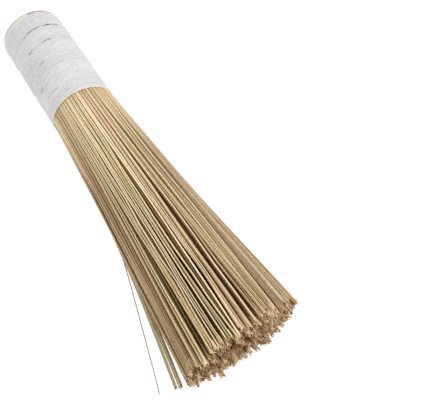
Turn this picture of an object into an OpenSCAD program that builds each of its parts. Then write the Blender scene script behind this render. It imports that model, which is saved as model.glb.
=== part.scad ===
// Bamboo wok brush, lying on its side as it rests on a table.
// Splints of split bamboo stand in rings round a middle one. A flat strip binds them
// along the handle, and past it they fan out, wider than high, down to the table.
// X runs along the handle from the sawn butt to the bristle tips, and Z points up.
// The origin is the middle of the butt face. All sizes are in millimetres.

/* [Bundle] */
// Number of rings of splints round the middle one
ring_count = 10; // [4:1:12]
// How many more splints each ring has than the one inside it
ring_growth = 5.72; // [5:0.02:6]
// Mean width of a splint, measured round its ring
splint_w = 1.75; // [1.2:0.05:2.4]
// How much wider or narrower than the mean a splint may be
splint_w_spread = 0.4; // [0:0.05:0.5]
// Thickness of a splint, measured out from the middle
splint_t = 1.55; // [1.2:0.05:2.2]
// Clearance between neighbouring splints in the handle
splint_gap = 0.12; // [0.08:0.02:0.3]
// Mean length of a splint from the butt to its tip
splint_len = 239.5; // [200:0.5:300]
// Size of a splint's section at the tip, as a share of its size in the handle
tip_share = 0.95; // [0.8:0.05:1]

/* [Fan] */
// How far the fan spreads past the bundle on each side, at the tips
spread_side = 12.9; // [9:0.2:20]
// How far the fan grows past the bundle above and below, at the tips
spread_height = 2.4; // [2:0.2:6]
// How far the middle of the fan's tips lies towards the back
spread_shift = 0.7; // [-2:0.1:2]
// How strongly all rings gather into the same clumps at the tips: 0 is evenly spread
clump = 0.3; // [0:0.05:0.9]
// How strongly each ring gathers into clumps of its own
ring_clump = 0.75; // [0:0.05:0.9]
// How the splints crowd towards the sides of the fan: 1 is evenly spread, and less is crowded
crowding = 0.88; // [0.8:0.02:1]
// Longest distance that an outer splint stands out of the fan at its tip
stand_out = 1.1; // [0:0.1:2]
// How unevenly the tips are cut, either way from the mean length
tip_ragged = 1.6; // [0:0.1:3]
// How much longer the front splints are than the back ones
tip_slant = 3.2; // [0:0.2:6]

/* [Stray splints] */
// How far in front of the fan the outermost stray splint ends, on the table
stray_reach = 6.4; // [1:0.2:10]
// How much shorter the stray splints are than the others
stray_short = 5; // [0:0.5:10]
// Thickness of the loose fibre that peels off the outermost stray splint
fibre_t = 0.45; // [0.3:0.05:0.8]
// How far the tip of the loose fibre stands from its splint
fibre_reach = 8.2; // [3:0.2:12]
// How much shorter the loose fibre is than its splint
fibre_short = 4.2; // [0:0.5:10]

/* [Binding strip] */
// Distance from the butt face to the first edge of the strip
strip_start = 1.2; // [0:0.1:4]
// Distance from the butt face to the last edge of the strip
strip_end = 71; // [50:1:100]
// Width of the strip
strip_w = 13; // [8:0.5:20]
// Thickness of the strip
strip_t = 0.2; // [0.1:0.05:0.8]
// How far each turn of the strip laps over the turn before it
strip_lap = 1; // [0.5:0.1:3]

/* [Hidden] */
// Shape of the fan
lower_power = 2.6;     // above 2 flattens the underside of the fan where it lies on the table
fan_curve = 1.22;      // 1 is a straight fan, and above that it opens later
fan_curve_side = 0.06; // how much later the front opens than the middle
clump_width = 4.9 * splint_w;      // from one clump of all rings to the next, in the handle
clump_skew = 12;                   // degrees by which it shifts for each millimetre of height
ring_clump_width = 7.3 * splint_w; // from one clump of a ring to the next, in the handle
looseness = 0.55;      // share of the room between two splints that their tips wander over
ring_turn = 37;        // degrees from the first splint of one ring to that of the next
seed = 33;

stations = [0, 0.42, 1]; // where a splint is bent, as shares of its free length

// Stray splints: which ones of the outer ring, and how close together they end
stray_from = 206;      // degrees round the ring
stray_to = 218;
stray_curve = 2.5;     // above 1 they part from the fan later
stray_stations = [0, 0.42, 0.75, 1];
stray_pitch = 1.3;     // from one tip to the next, in widths of the widest splint
stray_height = 0.9 * splint_t; // how high above the table the outermost one ends
stray_step = 0.3 * splint_t;   // how much lower each ends than the one in front of it
fibre_start = 0.55;    // where the fibre leaves its splint, as a share of the free length

// Binding strip
strip_facets = 32;     // sides of one turn, a multiple of four
strip_turn = 90;       // degrees from the back round to where the winding starts
strip_fit = 0.03;      // between the outermost corners and the strip
lap_clear = 0.04;      // between a turn and the one that it laps over
tail_w = strip_w / 8;  // width of the strip's slanted ends

// Tints of split bamboo: straw, tan, olive and brown
tints = ["#d9c08f", "#c9a878", "#b8a46c", "#b08a64"];

widest = splint_w + splint_w_spread;
bundle_r = ring_r(ring_count);                       // to the middle of an outer splint
corner_r = norm([bundle_r + splint_t / 2, widest / 2]);
strip_in = corner_r + strip_fit;
strip_travel = strip_end - strip_start + strip_w - 2 * tail_w;
strip_count = ceil(strip_travel / (strip_w - strip_lap) * strip_facets);
strip_pitch = strip_travel * strip_facets / strip_count;
strip_slope = (strip_t + lap_clear) / strip_pitch;   // each turn rises over the edge of the next
handle_r = (strip_in + strip_slope * strip_w + strip_t) / cos(180 / strip_facets);
table_z = -handle_r;
fan_len = splint_len - strip_end;
fan_side = bundle_r + spread_side;                   // half width and half height of the fan
fan_height = bundle_r + spread_height;
fan_mid = [spread_shift, table_z + fan_height + splint_t / 2];

SIDES = ["back", "top", "front", "bottom"];

function ring_name(k, side) = str("ring_", k < 10 ? "0" : "", k, "_", side);

// Number of splints in ring k
function ring_n(k) = k == 0 ? 1 : floor(ring_growth * k);

// Radius of ring k: its splints stand side by side, and clear the outer corners of the ring before it
function ring_r(k) =
    k == 0 ? 0
    : splint_t / 2 + max(
        norm([ring_r(k - 1) + splint_t / 2, widest / 2]) + splint_gap,
        (splint_w + splint_gap) / 2 / tan(180 / ring_n(k))
    );

// Half the angle that a splint of width w takes up in ring k, at its inner corners
function half_angle(k, w) = atan((w + splint_gap) / (2 * ring_r(k) - splint_t));

function noise(k, i, channel) = rands(-1, 1, 1, seed + 10000 * channel + 100 * k + i)[0];

// Splints stand in pairs: as one of a pair is wider than the mean, the other is narrower.
// Returns the share of the pair's room that splint i takes, and its width.
function is_paired(k, i) = k > 1 && (i % 2 == 1 || i < ring_n(k) - 1);
function width(k, i) =
    is_paired(k, i)
    ? splint_w + (i % 2 == 0 ? 1 : -1) * splint_w_spread * noise(k, i - i % 2, 1)
    : splint_w;
function splint_angle(k, i) =
    let (
        slot = 360 / ring_n(k),
        own = half_angle(k, width(k, i)),
        other = half_angle(k, 2 * splint_w - width(k, i)),
        room = k == 0 ? 0 : 2 * slot * own / (own + other),
        from_start = i % 2 == 0 ? room / 2 : 2 * slot - room / 2
    )
    (ring_turn * k + (is_paired(k, i) ? (i - i % 2) * slot + from_start : (i + 0.5) * slot)) % 360;
function splint_side(k, i) = SIDES[floor(((splint_angle(k, i) + 45) % 360) / 90)];
function is_stray(k, i) = k == ring_count && splint_angle(k, i) > stray_from && splint_angle(k, i) < stray_to;

// How far a section of width w reaches down from its middle when it is turned to angle a
function drop(a, w) = splint_t / 2 * abs(sin(a)) + w / 2 * abs(cos(a));

// Stretches the round bundle onto the fan: flattened below, elliptical above
function flatten(a) =
    sin(a) >= 0 ? 1 : pow(pow(abs(cos(a)), lower_power) + pow(abs(sin(a)), lower_power), -1 / lower_power);

// Where the middle of a splint's tip lies, across and up
function fan_place(k, i) =
    let (
        a = splint_angle(k, i),
        base = ring_r(k) * [cos(a), sin(a)],
        open = [spread_side, spread_height] / bundle_r,
        phase = 360 * base[0] / clump_width + clump_skew * base[1],
        ring_phase = 360 * base[0] / ring_clump_width + 137 * k,
        swing = ring_clump * ring_clump_width * sin(ring_phase) * open[0] / 2 / PI,
        b = a - swing * sin(a) / fan_side * 180 / PI,
        gather = [clump * clump_width * sin(phase) * open[0] / 2 / PI, 0],
        packed = 1 + clump * cos(phase) + ring_clump * cos(ring_phase) * pow(sin(a), 2),
        share = ring_r(k) / bundle_r,
        room = [for (m = [0, 1])
            splint_gap + (splint_t + splint_gap) * open[m] * (m == 0 ? packed : 1)],
        wander = [for (m = [0, 1]) looseness / 2 * room[m] * noise(k, i, 2 + m)],
        out = k == ring_count && sin(a) > 0 ? stand_out * abs(noise(k, i, 4)) * [cos(a), sin(a)] : [0, 0]
    )
    fan_mid + flatten(b) * [fan_side * pow(share, crowding) * cos(b), fan_height * share * sin(b)]
    + gather + wander + out;

// Stray splints end side by side on the table
function stray_place(k, i) =
    let (rank = (splint_angle(k, i) - stray_from) * ring_n(k) / 360)
    [
        -fan_side - stray_reach + rank * widest * stray_pitch,
        table_z + splint_t / 2 + max(0, stray_height - rank * stray_step)
    ];

// Middle of a splint at share s of its free length, with the size of its section there.
// Nothing reaches below the table.
function splint_point(k, i, s) =
    let (
        a = splint_angle(k, i),
        base = ring_r(k) * [cos(a), sin(a)],
        opened = pow(s, fan_curve - fan_curve_side * base[0] / bundle_r),
        parted = is_stray(k, i) ? pow(s, stray_curve) : 0,
        place = base + (fan_place(k, i) * (1 - parted) + stray_place(k, i) * parted - base) * opened,
        size = 1 + (tip_share - 1) * s
    )
    [strip_end + fan_len * s, place[0], max(place[1], table_z + size * drop(a, width(k, i))), size];

// How much longer than the mean a splint is, as a share of the free length
function tip_extra(k, i) =
    (tip_ragged * noise(k, i, 5) - tip_slant / 2 * cos(splint_angle(k, i)) * ring_r(k) / bundle_r
    - (is_stray(k, i) ? stray_short : 0)) / fan_len;

function splint_path(k, i) =
    concat(
        [splint_point(k, i, 0) - [strip_end, 0, 0, 0]],
        [for (s = is_stray(k, i) ? stray_stations : stations) splint_point(k, i, s < 1 ? s : 1 + tip_extra(k, i))]
    );

// Four corners of a section, turned so that its thickness points away from the middle
function corners(a, w, t) = [
    for (c = [[-1, -1], [1, -1], [1, 1], [-1, 1]])
        let (out = c[0] * t / 2, round_ = c[1] * w / 2)
        [out * cos(a) - round_ * sin(a), out * sin(a) + round_ * cos(a)]
];

// A bar along a path of [x, y, z, size of its section]
module bar(path, section) {
    n = len(section);
    last = len(path) - 1;
    polyhedron(
        points = [for (p = path, c = section) [p[0], p[1] + p[3] * c[0], p[2] + p[3] * c[1]]],
        faces = concat(
            [[for (j = [0:n - 1]) j]],
            [for (m = [0:last - 1], j = [0:n - 1])
                [m * n + j, (m + 1) * n + j, (m + 1) * n + (j + 1) % n, m * n + (j + 1) % n]],
            [[for (j = [n - 1:-1:0]) last * n + j]]
        )
    );
}

module splint(k, i) {
    color(tints[floor(len(tints) / 2 * (1 + 0.999 * noise(k, i, 6)))])
        bar(splint_path(k, i), corners(splint_angle(k, i), width(k, i), splint_t));
}

module core_splints() {
    for (k = [0, 1], i = [0:ring_n(k) - 1]) splint(k, i);
}

module ring_side(k, side) {
    for (i = [0:ring_n(k) - 1])
        if (splint_side(k, i) == side && !is_stray(k, i)) splint(k, i);
}

module stray_splints() {
    strays = [for (i = [0:ring_n(ring_count) - 1]) if (is_stray(ring_count, i)) i];
    front = [for (i = strays) if (min([for (m = strays) splint_angle(ring_count, m)]) == splint_angle(ring_count, i)) i];
    for (i = strays)
        if (i == front[0])
            union() {
                splint(ring_count, i);
                fibre(ring_count, i);
            }
        else splint(ring_count, i);
}

// A fibre split from a splint, still joined to it where it starts
module fibre(k, i) {
    low = table_z + fibre_t / 2;
    last = 1 + tip_extra(k, i) - fibre_short / fan_len;
    path = [
        for (s = [-0.1, 0, 0.3, 0.65, 1])
            let (
                p = splint_point(k, i, fibre_start + (last - fibre_start) * s),
                side = s < 0 ? 0 : width(k, i) / 4 + fibre_reach * pow(s, 1.2),
                sink = max(s, 0)
            )
            [p[0], p[1] - side, p[2] * (1 - sink) + low * sink, 1]
    ];
    color(tints[0]) bar(path, corners(180, fibre_t, fibre_t));
}

// The strip runs round in a helix, and each turn laps over the edge of the next one.
// It is trimmed square where the winding starts and where it ends.
function strip_section(m) =
    let (
        turn = m / strip_facets,
        edge = strip_start + tail_w - strip_w + turn * strip_pitch,
        x = [max(strip_start, edge), min(strip_end, edge + strip_w)]
    )
    [for (c = [[0, 0], [1, 0], [1, 1], [0, 1]])
        let (r = (strip_in + strip_slope * (x[c[0]] - edge) + c[1] * strip_t) / cos(180 / strip_facets))
        [x[c[0]], r * cos(strip_turn + 360 * turn), r * sin(strip_turn + 360 * turn)]];

module binding_strip() {
    color("#e6e4de")
        polyhedron(
            points = [for (m = [0:strip_count]) each strip_section(m)],
            faces = concat(
                [[0, 1, 2, 3]],
                [for (m = [0:strip_count - 1], j = [0:3])
                    [4 * m + j, 4 * m + 4 + j, 4 * m + 4 + (j + 1) % 4, 4 * m + (j + 1) % 4]],
                [[for (j = [3:-1:0]) 4 * strip_count + j]]
            )
        );
}

core_splints();
for (k = [2:ring_count], side = SIDES)
    ring_side(k, side);
stray_splints();
binding_strip();
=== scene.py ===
import math
import random

import bpy
import numpy as np
from mathutils import Matrix, Vector


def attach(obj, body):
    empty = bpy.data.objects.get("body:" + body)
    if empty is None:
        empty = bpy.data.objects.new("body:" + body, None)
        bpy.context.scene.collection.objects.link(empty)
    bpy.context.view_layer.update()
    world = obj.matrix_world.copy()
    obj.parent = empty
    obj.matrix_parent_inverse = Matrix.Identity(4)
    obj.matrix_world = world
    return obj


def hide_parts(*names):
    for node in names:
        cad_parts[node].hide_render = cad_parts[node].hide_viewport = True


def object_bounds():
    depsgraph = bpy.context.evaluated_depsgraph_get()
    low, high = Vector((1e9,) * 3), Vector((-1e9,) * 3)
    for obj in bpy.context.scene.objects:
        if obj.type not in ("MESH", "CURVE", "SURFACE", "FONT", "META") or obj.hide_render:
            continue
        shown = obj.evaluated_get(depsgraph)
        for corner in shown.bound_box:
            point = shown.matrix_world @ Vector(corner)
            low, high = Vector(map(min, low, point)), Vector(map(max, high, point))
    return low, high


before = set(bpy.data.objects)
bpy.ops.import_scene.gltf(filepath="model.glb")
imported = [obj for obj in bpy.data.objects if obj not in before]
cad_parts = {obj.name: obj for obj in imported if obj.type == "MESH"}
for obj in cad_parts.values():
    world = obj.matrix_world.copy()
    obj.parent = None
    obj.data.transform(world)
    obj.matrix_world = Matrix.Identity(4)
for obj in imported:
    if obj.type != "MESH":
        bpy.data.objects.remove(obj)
cad_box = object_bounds()

MM = 0.001
TABLE = cad_box[0].z
FARTHEST_BACK = cad_box[1].y + 0.0018  # laths reach no further back than this, just past the solids

# The binding strip as the solids have it, in millimetres and degrees
STRIP_START, STRIP_END = 1.2, 71.0
STRIP_WIDTH, STRIP_THICK = 13.0, 0.2
STRIP_ROUND = 120                 # length of one turn
STRIP_PITCH = 11.951              # how far each turn moves on along the handle
STRIP_TAIL = 1.625                # width that is left where the slanted tails end
STRIP_INNER = 18.765              # radius inside, at the edge of a turn that lies under the one before
STRIP_SLOPE = 0.24 / STRIP_PITCH  # how a turn rises along the handle, to lap over the next
STRIP_TURN = 90.0                 # where the winding starts, round the handle

# Lengths along the splints and places across the fan, in metres
STRAIGHT = 0.02      # up to here the splints are straight
EASE = 0.018         # their bends are eased over this length to both sides
BOUND = 0.071        # up to here they are bound
FAN_MIDDLE = 0.18    # where a splint's place across the fan is read
FAN_BACK = 0.022     # tips further back than this end earlier and stand further out
FAN_FRONT = -0.029   # tips further to the front than this stand further in


# Materials

class Value:
    """One output of a finish's nodes, so that shader maths can be written as sums."""

    def __init__(self, finish, socket):
        self.finish, self.socket = finish, socket

    def maths(self, operation, *values):
        return self.finish.node("ShaderNodeMath", {"operation": operation}, dict(enumerate(values)))

    def __add__(self, other):
        return self.maths("ADD", self, other)

    def __radd__(self, other):
        return self.maths("ADD", other, self)

    def __sub__(self, other):
        return self.maths("SUBTRACT", self, other)

    def __rsub__(self, other):
        return self.maths("SUBTRACT", other, self)

    def __mul__(self, other):
        return self.maths("MULTIPLY", self, other)

    def __rmul__(self, other):
        return self.maths("MULTIPLY", other, self)

    def power(self, other):
        return self.maths("POWER", self, other)

    def clamped(self):
        return self.maths("MAXIMUM", self.maths("MINIMUM", self, 1.0), 0.0)

    def step(self, low, high):
        """0 at low, 1 at high, and smooth between them. Low may be the greater number."""
        return self.finish.node("ShaderNodeMapRange", {"interpolation_type": "SMOOTHSTEP"},
                                {"Value": self, "From Min": low, "From Max": high})


class Finish:
    """A material made of nodes."""

    def __init__(self, name):
        self.material = bpy.data.materials.new(name)
        self.material.use_nodes = True
        self.tree = self.material.node_tree
        self.tree.nodes.clear()

    def node(self, kind, settings=(), inputs=(), output=0):
        """A node, with its settings first and then the numbers or links of its sockets."""
        made = self.tree.nodes.new(kind)
        for key, value in dict(settings).items():
            if key == "stops":
                ramp = made.color_ramp
                while len(ramp.elements) < len(value):
                    ramp.elements.new(0.5)
                for element, (place, colour) in zip(ramp.elements, value):
                    element.position, element.color = place, (*colour, 1.0)
            else:
                setattr(made, key, value)
        for key, value in dict(inputs).items():
            if isinstance(value, Value):
                self.tree.links.new(value.socket, made.inputs[key])
            else:
                made.inputs[key].default_value = value
        return Value(self, made.outputs[output]) if made.outputs else None

    def mix(self, share, a, b, way="MIX"):
        """A share of colour b over colour a. Sockets 0, 6 and 7 are the share and the two colours."""
        a, b = ((*c, 1.0) if isinstance(c, tuple) else c for c in (a, b))
        return self.node("ShaderNodeMix", {"data_type": "RGBA", "blend_type": way},
                         {0: share, 6: a, 7: b}, 2)

    def noise(self, where, stretch, detail=2.0, roughness=0.5):
        """Noise at a place, after the place is stretched by three factors."""
        place = self.node("ShaderNodeVectorMath", {"operation": "MULTIPLY"}, {0: where, 1: stretch})
        return self.node("ShaderNodeTexNoise", {}, {
            "Vector": place, "Scale": 1.0, "Detail": detail, "Roughness": roughness})

    def stored(self, name):
        """Three numbers that the mesh holds for each point, as a vector and as a list of values."""
        together = self.node("ShaderNodeAttribute", {"attribute_name": name}, {}, "Vector")
        first = self.node("ShaderNodeSeparateXYZ", {}, {0: together})
        return together, [Value(self, socket) for socket in first.socket.node.outputs]

    def bump(self, height, strength, distance):
        return self.node("ShaderNodeBump", {}, {
            "Height": height, "Strength": strength, "Distance": distance})

    def surface(self, colour, roughness, normal, specular):
        shader = self.node("ShaderNodeBsdfPrincipled", {}, {
            "Base Color": colour, "Roughness": roughness, "Normal": normal, "Specular IOR Level": specular})
        self.node("ShaderNodeOutputMaterial", {}, {"Surface": shader})
        return self.material


# Colours of split bamboo, from reddish through straw to olive and brown, each with its place on the scale
BAMBOO_SCALE = [
    (0.00, (0.71, 0.48, 0.31)), (0.18, (0.78, 0.56, 0.355)), (0.38, (0.83, 0.625, 0.385)),
    (0.58, (0.84, 0.67, 0.415)), (0.74, (0.76, 0.62, 0.35)), (0.88, (0.67, 0.56, 0.30)),
    (1.00, (0.70, 0.53, 0.255))]


def bamboo():
    """Split bamboo: each lath has its own tint, with fibres along it and a rough sawn end."""
    finish = Finish("split_bamboo")
    grain, (along, *_) = finish.stored("grain")
    tint, light, skin = finish.stored("tone")[1]
    edge, sawn, painted_shade = finish.stored("marks")[1]
    colour = finish.node("ShaderNodeValToRGB", {"stops": BAMBOO_SCALE}, {0: tint})

    # patches, fibres and flecks, all drawn out along the lath
    patches = finish.noise(grain, (18.0, 420.0, 7.7))
    fibres = finish.noise(grain, (7.0, 1500.0, 3.1), detail=3.0, roughness=0.7)
    flecks = finish.noise(grain, (120.0, 3400.0, 5.3), detail=1.0)
    pale_patch, brown_patch = (0.78, 0.64, 0.44), (0.44, 0.31, 0.19)
    dark_fibre, pale_fibre, dark_fleck = (0.31, 0.21, 0.12), (0.86, 0.74, 0.54), (0.24, 0.16, 0.09)
    colour = finish.mix(patches.step(0.45, 0.70) * 0.40, colour, pale_patch)
    colour = finish.mix(patches.step(0.55, 0.30) * 0.35, colour, brown_patch)
    colour = finish.mix(fibres.step(0.52, 0.68) * 0.42, colour, dark_fibre)
    colour = finish.mix(fibres.step(0.46, 0.32) * 0.40, colour, pale_fibre)
    colour = finish.mix(flecks.step(0.66, 0.74) * 0.2, colour, dark_fleck)

    # painted highlights and painted shade on the laths' split edges, stronger further out in the fan
    painted_edge_highlight, painted_edge_shade = (0.90, 0.79, 0.58), (0.24, 0.15, 0.08)
    edge = edge * (0.35 + along.step(0.05, 0.16) * 0.75)
    colour = finish.mix(edge.step(0.1, 1.0) * 0.5, colour, painted_edge_highlight)
    colour = finish.mix(edge.step(-0.1, -1.0) * 0.6, colour, painted_edge_shade)

    # each lath's own lightness, and the painted shade between laths, which turns them brown: blue falls most
    lightness_under_painted_shade = light * (1.0 - painted_shade * 0.46).clamped()
    shade = finish.node("ShaderNodeCombineColor", {}, {0: lightness_under_painted_shade, 1: lightness_under_painted_shade.power(1.25), 2: lightness_under_painted_shade.power(1.65)})
    colour = finish.mix(1.0, colour, shade, "MULTIPLY")

    # sawn ends of dark and pale pith, paler at the butt; the laths' sides just behind the butt get a grey
    # painted shade
    dark_pith, pale_pith = (0.33, 0.16, 0.07), (0.88, 0.59, 0.34)
    pale_butt, painted_butt_shade = (0.86, 0.68, 0.45), (0.34, 0.31, 0.29)
    pith = finish.noise(grain, (900.0, 2400.0, 9.1))
    end = finish.mix(pith.step(0.42, 0.58), dark_pith, pale_pith)
    end = finish.mix(along.step(0.010, 0.005) * 0.55, end, pale_butt)
    # the sawn ends take the lath's lightness and painted shade too
    end = finish.mix(1.0, end, shade, "MULTIPLY")
    colour = finish.mix(sawn, colour, end)
    colour = finish.mix(along.step(0.003, 0.001) * (1.0 - sawn), colour, painted_butt_shade)

    rough = 0.56 - skin * 0.14 + fibres * 0.12 + sawn * 0.25
    relief_of_fibres = finish.bump(fibres * 0.6 + flecks * 0.4, 0.35, 0.00012)
    return finish.surface(colour, rough.clamped(), relief_of_fibres, 0.15)


def binding():
    """Thin white strip with fine fibres and creases, warm next to the bamboo, with painted shade in its
    slits.
    """
    finish = Finish("white_strip")
    grain, (*_, rim) = finish.stored("grain")
    fibres = finish.noise(grain, (120.0, 2400.0, 0.0), detail=4.0, roughness=0.6)
    wrinkles = finish.noise(grain, (95.0, 620.0, 0.0), detail=4.0, roughness=0.6)
    clouds = finish.noise(grain, (20.0, 90.0, 0.0))
    cool_white, plain_white = (0.715, 0.715, 0.725), (0.79, 0.79, 0.79)
    grey_wrinkle, grey_fibre = (0.62, 0.61, 0.59), (0.66, 0.65, 0.62)
    warm_rim, painted_slit_shade = (0.95, 0.84, 0.68), (0.10, 0.095, 0.09)
    colour = finish.mix(clouds.step(0.35, 0.65), cool_white, plain_white)
    colour = finish.mix(wrinkles.step(0.60, 0.74) * 0.35, colour, grey_wrinkle)
    colour = finish.mix(fibres.step(0.55, 0.75) * 0.25, colour, grey_fibre)
    colour = finish.mix(rim.step(0.0, 0.5) * 0.9, colour, warm_rim)
    # painted shade in the slits and folds, where the stored number is below 0
    colour = finish.mix(rim.step(-0.7, -1.5) * 0.9, colour, painted_slit_shade)
    rough = 0.5 + fibres * 0.2
    return finish.surface(colour, rough.clamped(), finish.bump(wrinkles + fibres * 0.3, 0.9, 0.0014), 0.35)


# Splints

def new_piece(name, points, faces, material, slot, node, **stored):
    """A mesh that stands for a CAD node, with three numbers stored for each point under each name."""
    mesh = bpy.data.meshes.new(name)
    mesh.from_pydata([tuple(p) for p in points], [], faces)
    mesh.validate()
    for key, values in stored.items():
        layer = mesh.attributes.new(key, "FLOAT_VECTOR", "POINT")
        layer.data.foreach_set("vector", np.asarray(values, np.float32).ravel())
    mesh.materials.append(material)
    mesh.shade_smooth()
    piece = bpy.data.objects.new(name, mesh)
    bpy.context.scene.collection.objects.link(piece)
    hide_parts(node)
    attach(piece, "root")
    return piece


def loose_parts(node):
    """The separate solids of a CAD node, each as an array of its corners, in order along X."""
    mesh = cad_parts[node].data
    corners = np.array([v.co for v in mesh.vertices])
    # corners in one place are one, and faces that share a corner are of one solid
    places, place_of = np.unique(np.round(corners, 7), axis=0, return_inverse=True)
    place_of = place_of.ravel()
    before = list(range(len(places)))

    def first_of(i):
        while before[i] != i:
            before[i] = before[before[i]]
            i = before[i]
        return i

    for polygon in mesh.polygons:
        one, *others = (place_of[i] for i in polygon.vertices)
        for other in others:
            before[first_of(other)] = first_of(one)
    solids = {}
    for i, place in enumerate(places):
        solids.setdefault(first_of(i), []).append(place)
    solids = [np.array(sorted(map(tuple, solid))) for solid in solids.values()]
    return sorted(solids, key=lambda solid: tuple(solid[0]))


# Tints round the bundle: degrees, and place on the scale of bamboo colours
TINTS = [(0, 0.45), (30, 0.5), (45, 0.45), (58, 0.6), (72, 0.6), (84, 0.3), (93, 0.35), (99, 1.0),
         (107, 1.0), (111, 0.8), (126, 0.85), (138, 0.75), (152, 0.4), (180, 0.5), (230, 0.6), (290, 0.3),
         (360, 0.45)]
# Gaps round the bundle: degrees, and how much narrower than elsewhere the laths are at their tips; the same
# number sets how much painted shade some laths there get
GAPS = [(0, 0.03), (25, 0.02), (50, 0.02), (62, 0.0), (105, 0.01), (120, 0.05), (150, 0.14), (200, 0.12),
        (230, 0.0), (360, 0.03)]
# The tint of the stray splints, and how far they bow outwards
STRAY_TINT, STRAY_BOW = 0.65, 0.0013


class Splint:
    """The line, width and turn of one splint, read from its solid, and how it lies in the bundle."""

    def __init__(self, corners, node):
        base, tip = corners[:4], corners[-4:]
        self.line = np.array([corners[m:m + 4].mean(0) for m in range(0, len(corners), 4)])
        self.length, self.tip_y = self.line[-1][:2]
        self.angle = math.atan2(self.line[0][2], self.line[0][1]) % (2 * math.pi)
        out = Vector((0, *self.line[0][1:]))
        # the section's two sides, without its diagonal; the one that points outwards is its thickness
        thick, wide = sorted((Vector(c - base[0]) for c in base[1:]), key=lambda e: e.length)[:2]
        if out.length < 1e-5:
            out = Vector(thick)
        if abs(thick.normalized().dot(out.normalized())) < abs(wide.normalized().dot(out.normalized())):
            thick, wide = wide, thick
        self.thick, self.wide = thick.length, wide.length
        self.out = thick.normalized() if thick.dot(out) > 0 else -thick.normalized()
        self.side = self.out.cross(Vector((1, 0, 0)))
        self.tip_size = min(Vector(c - tip[0]).length for c in tip[1:]) / min(self.thick, self.wide)

        self.stray = node == "stray_splints"
        self.ring = {"core_splints": 1, "stray_splints": 10}.get(node) or int(node[5:7])
        self.outer = self.ring > 7
        self.tint, self.gap = (float(np.interp(math.degrees(self.angle), *zip(*table)))
                               for table in (TINTS, GAPS))
        # how far it leans to one side, from which share of its free length on, how far it is lifted
        # over its neighbours, and how far it bows out
        self.lean, self.start, self.lift, self.bow_out = 0.0, 0.0, 0.0, 0.0
        if self.stray:
            self.tint, self.gap, self.bow_out = STRAY_TINT, 0.0, STRAY_BOW

    def at(self, x):
        """The middle at x, with the bends of the solid eased."""
        reach = 0.0
        if x > STRAIGHT:
            reach = min(EASE, 0.9 * abs(x - STRAIGHT), 0.9 * abs(self.length - x) + 0.002)
        places = [x - reach, x - reach / 2, x, x + reach / 2, x + reach]
        y, z = (np.interp(places, self.line[:, 0], self.line[:, m]).mean() for m in (1, 2))
        past = max(0.0, x - self.length)
        if past:
            end = self.line[-1] - self.line[-2]
            y, z = (self.line[-1][m] + past * end[m] / end[0] for m in (1, 2))
        return np.array([x, y, z])

    def middle(self, x):
        return Vector(self.at(x))


# Section of a splint, flat with hardly broken edges: place across and out, each from -1 to 1
SECTION = [(-0.9, -1.0), (0.9, -1.0), (1.0, -0.88), (1.0, 0.82), (0.88, 1.0), (0.66, 1.0),
           (-0.66, 1.0), (-0.88, 1.0), (-1.0, 0.82), (-1.0, -0.88)]
# A cut straight across, and an end that isn't sawn and lies in full light
SQUARE = (0, 0)
UNMARKED = (0.0, 0.0)


class Bars:
    """Many thin bars that together make one piece, with the numbers that the bamboo's finish reads."""

    def __init__(self):
        self.points, self.faces, self.grain, self.tone, self.marks = [], [], [], [], []

    def add(self, stations, tone, number, edges=(0, 0)):
        """One bar. Each station is (middle, out, side, half thickness, half width, sawn end and painted
        shade, slant). The number sets its grain apart, and the edges are the painted highlight on its left
        and right edges, or painted shade below 0."""
        first, n = len(self.points), len(SECTION)
        for middle, out, side, thick, wide, marks, slant in stations:
            section = [Vector(middle) + side * (across * wide) + out * (up * thick)
                       + Vector((slant[0] * across + slant[1] * up, 0, 0)) for across, up in SECTION]
            # nothing reaches below the table, or far past the solids at the back
            forward = min(0.0, FARTHEST_BACK - max(p.y for p in section))
            upward = max(0.0, TABLE - min(p.z for p in section))
            self.points.extend(p + Vector((0, forward, upward)) for p in section)
            for across, up in SECTION:
                round_it = across if up > -0.9 else -across + 2.3
                # the top corners of the section carry the painted edge highlight or shade
                edge = edges[across > 0] if abs(across) > 0.8 and up > 0 else 0.0
                self.grain.append((middle[0], round_it * wide, number))
                self.tone.append(tone)
                self.marks.append((edge, *marks))
        for m in range(len(stations) - 1):
            for j in range(n):
                a, b = first + m * n + j, first + m * n + (j + 1) % n
                self.faces.append((a, b, b + n, a + n))
        self.faces.append(tuple(first + j for j in reversed(range(n))))
        self.faces.append(tuple(len(self.points) - n + j for j in range(n)))

    def finish(self, name, material, node):
        piece = new_piece(name, self.points, self.faces, material, "bamboo", node,
                          grain=self.grain, tone=self.tone, marks=self.marks)
        piece.data.set_sharp_from_angle(angle=math.radians(28))


def arch(share):
    """Half a wave: it rises from 0 to 1 halfway and falls to 0 again."""
    return math.sin(3.14 * share)


# Where the outer splints part and show the dark between them: place across the fan in metres,
# how far each side moves away, and the shares of the free length between which they part
PARTINGS = [(-0.0043, 0.0011, 0.30, 1.00), (-0.0121, 0.0008, 0.42, 0.72), (0.0061, 0.0007, 0.45, 0.78),
            (0.0133, 0.0006, 0.50, 0.90), (-0.0165, 0.0006, 0.55, 0.80), (-0.0226, 0.0008, 0.48, 0.88),
            (0.0189, 0.0006, 0.20, 0.50), (0.0208, 0.0005, 0.60, 0.95), (-0.0250, 0.0005, 0.25, 0.50)]
# How much of these partings the splints on top follow, by node
PARTED = {"ring_10_top": 1.0, "ring_09_top": 0.9, "ring_08_top": 0.5}


def parted(across, free):
    """How far a splint moves sideways, away from the partings."""
    total = 0.0
    for place, opening, start, end in PARTINGS:
        share = max(0.0, min(1.0, (free - start) / (end - start)))
        off = across - place
        total += math.copysign(opening, off) * arch(share) ** 0.7 * math.exp(-abs(off) / 0.003)
    return total


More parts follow.
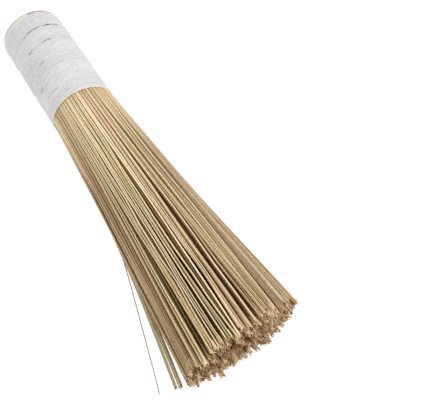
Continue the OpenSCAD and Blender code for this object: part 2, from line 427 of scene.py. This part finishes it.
def finished_splint(bars, splint, number, dice, loose, parting):
    """One splint, whole or split lengthwise into two or three laths. Loose is how freely they may lie,
    and parting is how much of the partings they follow."""
    lean = splint.lean + dice.gauss(0, 0.0003) * loose
    bow = dice.gauss(0, 0.0005) * loose
    lift = splint.lift + dice.uniform(-0.0003, 0.0004) * loose
    twist = math.radians(dice.gauss(0, 9))
    light, skin = dice.gauss(1.08, 0.08), dice.random()
    count = dice.choice((1, 2, 2, 2, 2, 3, 3)) if splint.outer else 1
    cuts = [0.0] + [(m + dice.uniform(-0.14, 0.14)) / count for m in range(1, count)] + [1.0]
    for m, (low, high) in enumerate(zip(cuts, cuts[1:])):
        # -1 for the lath on one side of the splint, 1 for the other and 0 between them
        fork = 0.0 if count == 1 else 2 * m / (count - 1) - 1
        tint = splint.tint + dice.gauss(0, 0.13)
        shine = light * dice.choice((0.70, 0.88, 0.95, 1.0, 1.04, 1.09))
        tone = (max(0.0, min(1.0, tint)), max(0.25, min(1.3, shine)), skin)
        drift = (lean + fork * dice.uniform(0, 0.0012) * loose, bow, lift + dice.gauss(0, 0.0002) * loose)
        lath(bars, splint, number + 0.3 * fork, dice, tone, (low + high - 1, high - low), drift, twist,
             parting)


# Places along a lath, in metres, where its section is set; others follow near its tip
STATIONS = (0.0, 0.0004, 0.003, 0.03, 0.069, 0.0712, 0.0726, 0.082, 0.094, 0.110, 0.128, 0.147, 0.166,
            0.185, 0.203, 0.218)
# How much painted shade lies on a ring that others cover: the outermost three, and all within them
RING_PAINTED_SHADE, DEEP_PAINTED_SHADE = {10: 0.0, 9: 0.8, 8: 1.2}, 1.35
# How brown and rough a sawn end is, from 0 to 1
SAWN = 0.95


def painted_shade_at(x, free, ring, at_tip):
    """How much shade is painted on a lath: a painted shadow in front of the binding's edge, painted shade
    behind the butt's face, and painted shade on covered rings up to just before their cut ends and on those
    ends."""
    painted_shade = 0.6 * math.exp(-((x - 0.0712) / 0.0012) ** 2) + (0.3 if 0 < x < 0.002 else 0.0)
    covered = RING_PAINTED_SHADE.get(ring, DEEP_PAINTED_SHADE) * (x > 0.002)
    painted_shade += covered * min(1.0, max(0.0, (0.998 - free) / 0.022)) + (0.5 if at_tip and covered else 0.0)
    return painted_shade


def lath(bars, splint, number, dice, tone, cut, drift, twist, parting):
    """A lath: straight in the binding, a little wavy and twisted past it, and roughly cut at its tip.
    The cut is the place and share of its splint's width that it takes, and the drift is how far it
    leans to one side, bows and is lifted."""
    place, share = cut
    lean, bow, lift = drift
    # painted shade on each lath's left edge, and a painted highlight, painted shade or nothing on its right
    edges = [dice.choice((-0.4, -1.0, -1.0)), dice.choice((-0.6, 0.0, 0.5, 1.0))]
    wide = splint.wide / 2 * share
    narrowing = dice.uniform(0.03, 0.27) + splint.gap if splint.outer else 0.0
    thick = splint.thick / 2 * dice.uniform(0.96, 1.03)
    # painted shade on some laths where the fan has gaps, growing towards their tips
    painted_shade = splint.gap * dice.choice((0.0, 0.0, 0.0, 2.0, 8.0, 12.0))
    # each wave's length, where it starts, and its height; two go outwards and two sideways
    waves = [(dice.uniform(0.025, 0.09), dice.uniform(0, 6.3), dice.gauss(0, 0.00010)) for _ in range(4)]
    past_back = max(0.0, splint.tip_y - FAN_BACK)
    past_front = 0.0 if splint.stray else max(0.0, FAN_FRONT - splint.tip_y)
    length = splint.length + dice.uniform(-0.0014, 0.0010) - 0.0009 * splint.stray - 0.38 * past_back
    fan_place = splint.at(FAN_MIDDLE)[1]
    slant = (dice.gauss(0, 0.0004), dice.gauss(0, 0.0003))
    forked = share == 1.0 and dice.random() < 0.3
    near_tip = [0.009, 0.0035] if forked else [0.009, 0.0004, 0.0]
    stations = []
    for x in [*STATIONS, *(length - before for before in near_tip)]:
        free = max(0.0, (x - BOUND) / (splint.length - BOUND))
        at_tip = x >= length - 1e-6
        size = 1 + (splint.tip_size - 1) * free
        turned = Matrix.Rotation(twist * free, 3, "X")
        out, side = turned @ splint.out, turned @ splint.side
        wander = [sum(height * math.sin(x / wave * 6.283 + start) for wave, start, height in waves[m::2])
                  * min(1.0, free * 4) for m in (0, 1)]
        middle = splint.middle(x) + out * wander[0] * 0.6 + side * wander[1]
        leaning = max(0.0, (free - splint.start) / (1 - splint.start)) ** 1.3
        middle += splint.side * (lean * leaning + bow * arch(free)) + splint.out * lift * min(1.0, free * 3)
        middle += side * (place * splint.wide / 2 * size)
        if parting:
            middle.y += parted(fan_place, free) * parting
        middle.y -= splint.bow_out * arch(free ** 1.6)
        # tips at the fan's back edge stand further out, and tips at its front edge further in
        middle.y += min(0.0018, past_back * 0.22) * max(0.0, free - 0.55) / 0.45
        middle.y += min(0.0012, past_front * 0.3) * max(0.0, free - 0.6) / 0.4
        at_butt = x == 0.0
        # how sawn the lath is here, and how much shade is painted on it
        marks = (SAWN if at_tip or at_butt else 0.0,
                 painted_shade_at(x, free, splint.ring, at_tip) + painted_shade * min(1.0, free * 2.5))
        wobble = 1 + 0.05 * math.sin(x * 190 + waves[0][1])
        half_wide = wide * size * wobble * (0.96 - narrowing * min(1.0, free * 2))
        stations.append((middle, out, side, thick * size, half_wide, marks, slant if at_tip else SQUARE))
    bars.add(stations, tone, number, edges)
    if forked:
        forked_tip(bars, splint, stations[-1], length, tone, number, dice, edges)
    shift = stations[-1][0] - splint.middle(stations[-1][0].x)
    for _ in range(dice.choice((0, 1, 2, 3, 4)) if splint.ring > 4 else 0):
        shred(bars, splint, length, (wide, thick), shift, number, dice)


def forked_tip(bars, splint, last, length, tone, number, dice, edges):
    """Two prongs of uneven width and length that go on from the last station of a lath."""
    back, out, side, thick, wide, (_, painted_shade), _ = last
    shift = back - splint.middle(back.x)
    share = dice.uniform(0.38, 0.6)
    for sign, part in ((-1, share), (1, 1 - share)):
        away = sign * wide * (1 - part)
        reach = length + dice.uniform(-0.0016, 0.0006)
        stations = []
        for x, spread in ((back.x - 0.001, 0.0), (back.x + 0.0012, 0.03), (reach, 0.12)):
            # the prongs keep the lath's painted shade, fading where they spread; their cut ends get a little
            # painted shade
            marks, slant = (0.0, painted_shade * (1 - spread * 12)), SQUARE
            if x == reach:
                marks, slant = (SAWN, 0.3), (dice.gauss(0, 0.0002), dice.gauss(0, 0.0003))
            stations.append((splint.middle(x) + shift + side * (away + sign * wide * spread), out, side,
                             thick * (0.97 - spread * 0.6), wide * part * 0.93, marks, slant))
        bars.add(stations, tone, number + 0.37 * sign, edges)


def shred(bars, splint, length, half, shift, number, dice):
    """A thin shred of fibre that sticks out of a cut end."""
    place = [dice.uniform(-0.9, 0.9) * h for h in half]
    lean = [dice.gauss(0, 0.0011) for _ in range(2)]
    reach = dice.uniform(-0.0004, 0.0015)
    size = dice.uniform(0.00008, 0.00015)
    tone = (0.45, dice.uniform(1.0, 1.3), 0.5)
    stations = []
    for x, free, share in ((length - 0.004, 0, 1.0), (length, 0.2, 0.9), (length + reach, 1, 0.5)):
        middle = splint.middle(x) + shift + splint.side * (place[0] + lean[0] * free) \
            + splint.out * (place[1] + lean[1] * free)
        stations.append((middle, splint.out, splint.side, size * share, size * share * 1.5, UNMARKED, SQUARE))
    bars.add(stations, tone, number + 0.21)


def peeled_fibre(bars, splint, tip):
    """The hair-thin fibre that is split from the outermost stray splint, along its solid."""
    start = splint.at(0.150) + np.array([0, -splint.thick / 2, 0])
    steps = 14
    stations = []
    for m in range(steps + 1):
        s = m / steps
        x = start[0] + (tip[0] - start[0]) * s
        y = start[1] + (tip[1] - start[1]) * s ** 1.12 + 0.0001 * math.sin(s * 9)
        z = splint.at(x)[2] * (1 - s) + tip[2] * s + 0.0003 * math.sin(s * 7) * (1 - s)
        half = 0.00024 - 0.00006 * s
        # the fibre is darkened all along through the channel that carries painted shade
        stations.append((Vector((x, y, z)), Vector((0, 0, 1)), Vector((0, 1, 0)), half, half, (0.0, 1.1),
                         SQUARE))
    bars.add(stations, (0.3, 0.95, 0.4), 0.5)


def without_fibre(corners):
    """The corners of the outermost stray splint alone: those at its neighbour's bends, and its tip."""
    bends = min(loose_parts("stray_splints"), key=len)[0:-4:4, 0]
    at_bends = [c for c in corners if min(abs(c[0] - x) for x in bends) < 1e-6]
    return np.concatenate([at_bends, corners[-4:]])


def gather(splints, dice):
    """Lets small groups of neighbours lean together, one over the next, and some single ones cross the
    others, as loose splints do. Those at the sides of the fan stay near their places."""
    ordered = sorted(splints, key=lambda splint: (splint.angle + 0.8) % (2 * math.pi))
    freedom = [1 - math.cos(splint.angle) ** 8 for splint in ordered]
    start = 0
    while start < len(ordered):
        size, bend = dice.choice((1, 2, 2, 3, 4)), dice.uniform(0.05, 0.55)
        lean, lift = dice.gauss(0, 0.0017), dice.uniform(-0.0004, 0.0008)
        for splint, freely in list(zip(ordered, freedom))[start:start + size]:
            # the ones over the fan's shoulder, at about 52 degrees, fall to the side
            fall = 0.0022 * math.exp(-((math.degrees(splint.angle) - 52) / 24) ** 2)
            splint.lean = (lean + fall + dice.gauss(0, 0.0005)) * freely
            splint.lift = (lift + dice.uniform(0, 0.0002)) * freely
            splint.start = bend
        start += size
    for splint, freely in zip(ordered, freedom):
        if dice.random() < 0.3:
            splint.lean += dice.choice((-1, 1)) * dice.uniform(0.0015, 0.0040) * freely
            splint.lift += 0.0006 * freely
        # on top, nothing leans into the first three partings
        away = min(abs(splint.at(FAN_MIDDLE)[1] - parting[0]) for parting in PARTINGS[:3])
        if math.sin(splint.angle) > 0.8:
            splint.lean *= min(1.0, (away / 0.0045) ** 2)


def bundle(material):
    """Every node of splints becomes one piece of finished splints."""
    number = 0
    for node in sorted(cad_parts):
        if node == "binding_strip":
            continue
        loose = 1.0 if node.startswith(("ring_10", "ring_09")) else 0.4
        if node.endswith("bottom") or node == "stray_splints":
            loose *= 0.3
        dice = random.Random("bamboo 16 " + node)
        bars = Bars()
        splints = []
        for corners in loose_parts(node):
            if len(corners) > 20:
                # more corners than a splint has: the fibre is joined to this one
                fibre_tip = corners[np.argsort(corners[:, 1])[:4]].mean(0)
                corners = without_fibre(corners)
                peeled_fibre(bars, Splint(corners, node), fibre_tip)
            splints.append(Splint(corners, node))
        if node.startswith(("ring_10", "ring_09", "ring_08")) and not node.endswith("bottom"):
            gather(splints, dice)
        for splint in splints:
            number += 1
            finished_splint(bars, splint, number, dice, loose, PARTED.get(node, 0.0))
        bars.finish("finished_" + node, material, node)


# Binding strip

# Slits and sharp folds of the strip: along the handle in millimetres and round it in degrees, at both
# ends, and how deep they are and how dark their painted shade is
SLITS = [(15.7, 121, 14.3, 100, 1.0), (14.3, 100, 13.9, 46, 0.95), (15.7, 121, 16.6, 124, 0.7),
         (26.5, 94, 26.2, 79, 0.85), (27.4, 128, 26.8, 119, 0.6), (31.6, 139, 30.8, 130, 0.6),
         (43.6, 119, 43.0, 111, 0.6), (46.9, 121, 46.5, 115, 0.4), (60.9, 118, 59.8, 139, 0.9),
         (59.8, 139, 62.4, 152, 0.9), (53.6, 148, 54.2, 141, 0.7), (59.8, 139, 58.6, 146, 0.5)]
# Millimetres of the handle's outside in one degree, and half the width of a slit in millimetres
DEGREE, SLIT_HALF = 0.335, 0.24
# Places where the lapping edge stands up: angle in degrees round the handle, the turn's edge along
# the handle in millimetres, half length in degrees, and how far it lifts
LIFTS = [(82, 14.6, 35, 0.3), (87, 26.5, 8, 0.35), (124, 27.6, 5, 0.4), (116, 39.5, 5, 0.4),
         (145, 52.5, 6, 0.35)]
# Millimetres of the lapping edge that are worn thin, and the share of the width that can stand up
WORN_WIDTH, LIFTED = 1.6, 0.22


def creases(length, width, dice):
    """Random shallow creases of the ribbon: middle along and across it, half length, half width, tilt
    and height."""
    return [(dice.uniform(0, length), dice.uniform(0, width), dice.uniform(1.5, 6.5),
             dice.uniform(0.25, 0.7), dice.gauss(0, 0.12), dice.gauss(0, 0.085))
            for _ in range(int(length * width / 9))]


def relief(along, across, made):
    """Height of all creases at many places of the ribbon at once."""
    total = np.zeros_like(along)
    for middle, from_edge, half, thin, tilt, height in made:
        near = np.abs(along - middle) < 2.5 * half
        off = across[near] - from_edge - tilt * (along[near] - middle)
        total[near] += height * np.exp(-((along[near] - middle) / half) ** 2 - (off / thin) ** 2)
    return total


def slit_depth(x, angle):
    """How deep the slits are at places along the handle and round it."""
    total = np.zeros_like(x)
    for x0, a0, x1, a1, depth in SLITS:
        u, v = (x - x0), (angle - a0) * DEGREE
        du, dv = x1 - x0, (a1 - a0) * DEGREE
        share = np.clip((u * du + v * dv) / (du * du + dv * dv), 0, 1)
        away = np.hypot(u - share * du, v - share * dv)
        total = np.maximum(total, depth * np.exp(-(away / SLIT_HALF) ** 2))
    return total


def edge_lift(turn, edge):
    """How far the free edge of the strip stands up at one turn, in millimetres."""
    angle = (turn * 360 + STRIP_TURN) % 360
    lift = 0.0
    for place, x, half, height in LIFTS:
        if abs(edge - x) < 5:
            off = (angle - place + 180) % 360 - 180
            lift = max(lift, height * math.exp(-(off / half) ** 4 * 0.7))
    return lift


def strip(material):
    """The binding strip: a thin ribbon wound in a helix, each turn lapping over the edge of the next."""
    turns = (STRIP_END - STRIP_START + STRIP_WIDTH - 2 * STRIP_TAIL) / STRIP_PITCH
    steps, rows = int(turns * 144), 26
    places = []
    for m in range(steps + 1):
        turn = turns * m / steps
        edge = STRIP_START + STRIP_TAIL - STRIP_WIDTH + turn * STRIP_PITCH
        low, high = max(STRIP_START, edge), min(STRIP_END, edge + STRIP_WIDTH)
        lift = edge_lift(turn, edge + STRIP_WIDTH)
        waver = 0.18 * math.sin(turn * 17.0) + 0.12 * math.sin(turn * 41.0 + 1)
        for outside in (0, 1):
            for r in range(rows + 1):
                share = 1 - r / rows if outside else r / rows
                x = low + (high - low) * share
                if high < STRIP_END and low > STRIP_START:
                    x += waver * share
                elif high >= STRIP_END:
                    x += 0.25 * math.sin(turn * 12.0) * share * min(1.0, (high - low) / 6)
                worn = max(0.0, (x - edge - STRIP_WIDTH + WORN_WIDTH) / WORN_WIDTH) * max(0.0, 1 - lift * 6)
                radius = STRIP_INNER + STRIP_SLOPE * (x - edge) - 0.05 * worn
                radius += STRIP_THICK * (1 - 0.85 * worn) if outside else 0.0
                radius += lift * max(0.0, (share - 1 + LIFTED) / LIFTED) ** 2
                places.append((x, turn, radius, edge, outside))
    x, turn, radius, edge, outside = np.array(places).T
    angle = turn * 360 + STRIP_TURN
    made = creases(turns * STRIP_ROUND, STRIP_WIDTH, random.Random("creases"))
    slit = slit_depth(x, angle % 360)
    radius += (relief(turn * STRIP_ROUND, x - edge, made) - 0.3 * slit) * (0.3 + 0.7 * outside)
    points = np.stack([x, radius * np.cos(np.radians(angle)), radius * np.sin(np.radians(angle))], 1) * MM
    # above 0 next to the bare bamboo at both ends of the binding, below 0 in the slits, where shade is
    # painted
    rim = np.maximum(0, 1 - np.minimum(x - STRIP_START, STRIP_END - x) / 0.9)
    grain = np.stack([turn * STRIP_ROUND * MM, (x - edge) * MM, rim - 2 * slit * outside], 1)
    n = 2 * (rows + 1)
    faces = [(m * n + j, m * n + (j + 1) % n, (m + 1) * n + (j + 1) % n, (m + 1) * n + j)
             for m in range(steps) for j in range(n)]
    faces.append(tuple(reversed(range(n))))
    faces.append(tuple(steps * n + j for j in range(n)))
    new_piece("wound_strip", points, faces, material, "strip", "binding_strip", grain=grain)


# Stage

def floor(height):
    """A plain pale floor that looks white and keeps the brush's soft shadow."""
    finish = Finish("white_floor")
    seen, mirrored, through = (finish.node("ShaderNodeLightPath", output=ray) for ray in
                               ("Is Camera Ray", "Is Glossy Ray", "Is Transmission Ray"))
    plain = finish.node("ShaderNodeBsdfPrincipled", {},
                        {"Base Color": (0.86, 0.86, 0.86, 1), "Roughness": 0.9})
    glow = finish.node("ShaderNodeEmission", {}, {"Color": (1, 1, 1, 1), "Strength": 1.06})
    share = (seen + mirrored + through).clamped() * 0.9
    mixed = finish.node("ShaderNodeMixShader", {}, {0: share, 1: plain, 2: glow})
    finish.node("ShaderNodeOutputMaterial", {}, {"Surface": mixed})
    mesh = bpy.data.meshes.new("floor")
    half = 6.0
    mesh.from_pydata([(x * half, y * half, height) for x, y in ((-1, -1), (1, -1), (1, 1), (-1, 1))], [],
                     [(0, 1, 2, 3)])
    mesh.materials.append(finish.material)
    made = bpy.data.objects.new("floor", mesh)
    bpy.context.scene.collection.objects.link(made)


def lamp(name, place, size, power):
    """A round soft lamp that shines on the middle of the brush."""
    light = bpy.data.lights.new(name, "AREA")
    light.shape, light.size, light.energy = "DISK", size, power
    made = bpy.data.objects.new(name, light)
    made.location = place
    made.rotation_euler = (Vector((0.12, 0, 0)) - Vector(place)).to_track_quat("-Z", "Y").to_euler()
    bpy.context.scene.collection.objects.link(made)


def room(light, background):
    """Even white light from all sides, and a white background for the camera."""
    world = bpy.data.worlds.new("room")
    world.use_nodes = True
    nodes, link = world.node_tree.nodes, world.node_tree.links.new
    nodes.clear()
    mixed = nodes.new("ShaderNodeMixShader")
    link(nodes.new("ShaderNodeLightPath").outputs["Is Camera Ray"], mixed.inputs[0])
    for place, strength in ((1, light), (2, background)):
        back = nodes.new("ShaderNodeBackground")
        back.inputs["Color"].default_value = (1, 1, 1, 1)
        back.inputs["Strength"].default_value = strength
        link(back.outputs[0], mixed.inputs[place])
    link(mixed.outputs[0], nodes.new("ShaderNodeOutputWorld").inputs[0])
    bpy.context.scene.world = world


def camera():
    """The photograph's view, as measured from the outline of the bound handle."""
    lens = bpy.data.cameras.new("camera")
    lens.sensor_width, lens.lens = 36.0, 60.96
    lens.clip_start, lens.clip_end = 0.01, 50
    made = bpy.data.objects.new("camera", lens)
    ahead = Vector((-0.4471, 0.2786, -0.8500)).normalized()
    right = Vector((0.5289, 0.8487, 0)).normalized()
    up = right.cross(ahead)
    place = Vector((0.34479, -0.07686, 0.34244))
    made.matrix_world = Matrix([(right[m], up[m], -ahead[m], place[m]) for m in range(3)] + [(0, 0, 0, 1)])
    bpy.context.scene.collection.objects.link(made)
    bpy.context.scene.camera = made


bundle(bamboo())
strip(binding())
floor(TABLE - 0.0001)
lamp("window", place=(0.35, 0.75, 0.85), size=0.9, power=10.0)
lamp("fill", place=(0.25, -0.9, 0.6), size=1.2, power=5.8)
room(light=0.42, background=1.0)
camera()
bpy.context.scene.view_settings.view_transform = "Standard"
